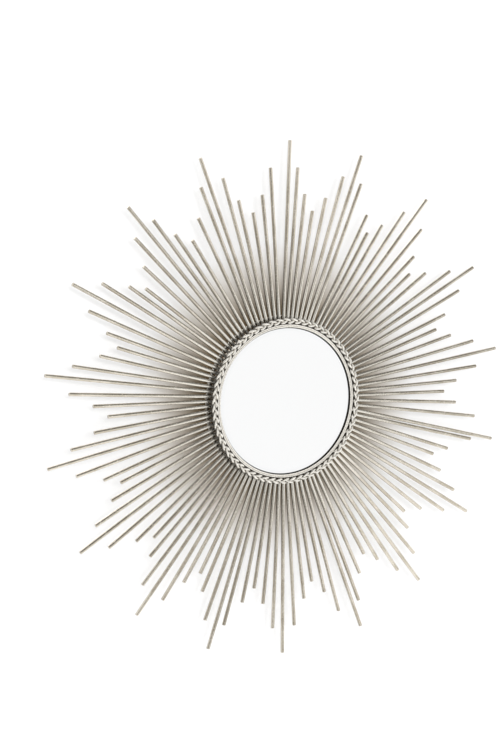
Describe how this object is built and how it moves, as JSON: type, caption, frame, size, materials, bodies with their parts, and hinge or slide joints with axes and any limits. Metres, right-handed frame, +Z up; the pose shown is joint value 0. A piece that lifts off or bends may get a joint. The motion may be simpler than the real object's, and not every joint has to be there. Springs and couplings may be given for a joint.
{
  "type": "starburst mirror",
  "caption": "Round wall mirror in a plaited metal rim, ringed by straight radiating steel rays in stepped lengths, with keyhole hangers in its back plate.",
  "frame": {"origin": "centre of the drum's flat back face, in the plane of the wall", "axes": "+Y points out of the back into the wall, so the glass looks along -Y; +Z is up as hung; +X is to the right of a person who faces the mirror"},
  "size_m": [0.9043, 0.0338, 0.9142],
  "materials": {
    "ray_metal": "satin champagne silver paint over round steel bar, darker near the drum",
    "hub_metal": "satin champagne silver paint with dark wash in the corners",
    "braid_metal": "champagne silver leaf over plaited wire, dark wash between the strands",
    "bezel_metal": "pale champagne silver leaf, rubbed smooth on the beads",
    "mirror_glass": "clear float glass, silvered behind",
    "foam": "closed-cell foam strip",
    "hardboard": "brown hardboard",
    "plain_steel": "bare mild steel",
    "plate_paint": "champagne paint, duller on the back",
    "zinc_steel": "zinc plated"
  },
  "bodies": {
    "root": {"ray_fan_01": "ray_metal", "ray_fan_02": "ray_metal", "ray_fan_03": "ray_metal", "ray_fan_04": "ray_metal", "ray_fan_05": "ray_metal", "ray_fan_06": "ray_metal", "ray_fan_07": "ray_metal", "ray_fan_08": "ray_metal", "ray_fan_09": "ray_metal", "ray_fan_10": "ray_metal", "ray_fan_11": "ray_metal", "ray_fan_12": "ray_metal", "ray_fan_13": "ray_metal", "ray_fan_14": "ray_metal", "ray_fan_15": "ray_metal", "ray_fan_16": "ray_metal", "ray_fan_17": "ray_metal", "ray_fan_18": "ray_metal", "front_bezel": "bezel_metal", "hub_drum": "hub_metal", "back_ring": "hub_metal", "braid_ring": "braid_metal", "mirror_glass": "mirror_glass", "cushion_ring": "foam", "backing_board": "hardboard", "retaining_tabs": "plain_steel", "back_plate": "plate_paint", "plate_lugs": "plain_steel", "plate_screws": "zinc_steel", "hanger_plates": "zinc_steel", "hanger_rivets": "zinc_steel"}
  },
  "joints": []
}
